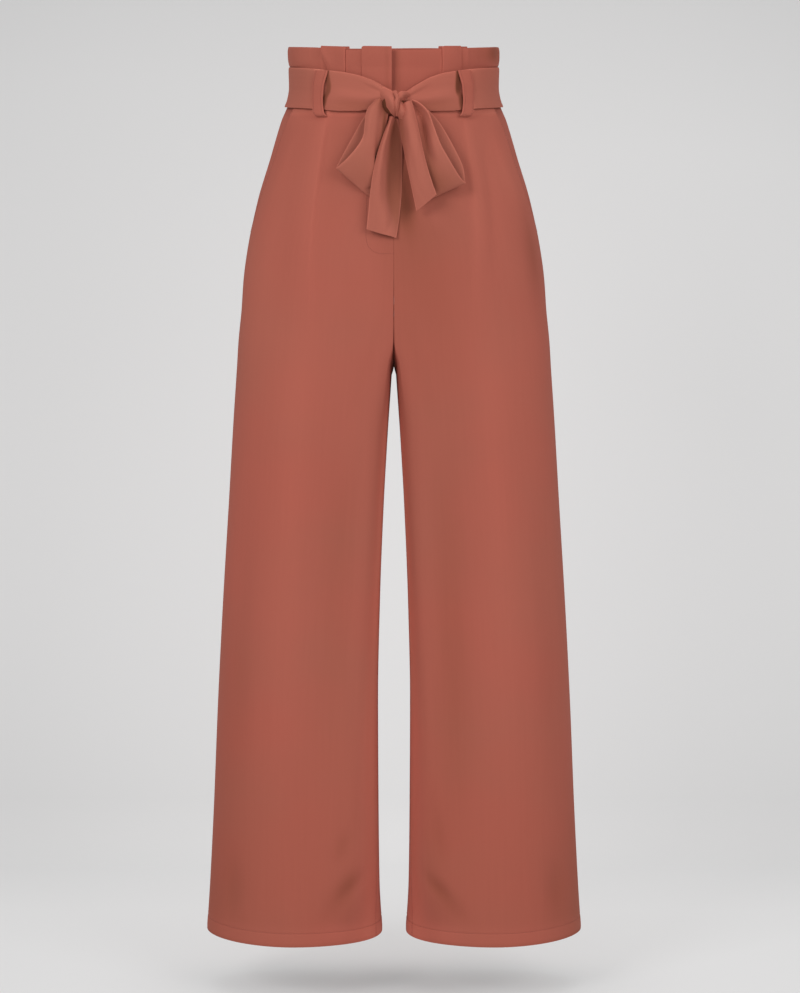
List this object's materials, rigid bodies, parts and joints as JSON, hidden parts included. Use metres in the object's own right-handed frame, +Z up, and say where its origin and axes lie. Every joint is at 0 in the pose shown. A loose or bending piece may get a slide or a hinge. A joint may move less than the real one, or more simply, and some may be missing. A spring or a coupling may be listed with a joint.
{
  "type": "paperbag waist trousers",
  "caption": "High waisted paperbag trousers with a pleated frill, a tied fabric belt with a bow, belt loops, slant pockets and wide straight legs.",
  "frame": {"origin": "middle of the waist, at mid height of the belt", "axes": "+Z up the trousers, front faces -Y, the wearer's left is +X"},
  "size_m": [0.454, 0.2813, 1.0617],
  "materials": {
    "cloth": "matte crepe",
    "sash": "matte crepe"
  },
  "bodies": {
    "root": {"front_panel_right": "cloth", "front_panel_left": "cloth", "back_panel_right": "cloth", "back_panel_left": "cloth", "pocket_facing_right": "cloth", "pocket_facing_left": "cloth", "waistband_front_right": "cloth", "waistband_front_left": "cloth", "waistband_back": "cloth", "belt_loop_front_right": "cloth", "belt_loop_front_left": "cloth", "belt_loop_back_right": "cloth", "belt_loop_back_left": "cloth", "belt_band": "sash", "belt_knot": "sash", "bow_loop_right": "sash", "bow_loop_left": "sash", "belt_tail_right": "sash", "belt_tail_left": "sash"}
  },
  "joints": []
}
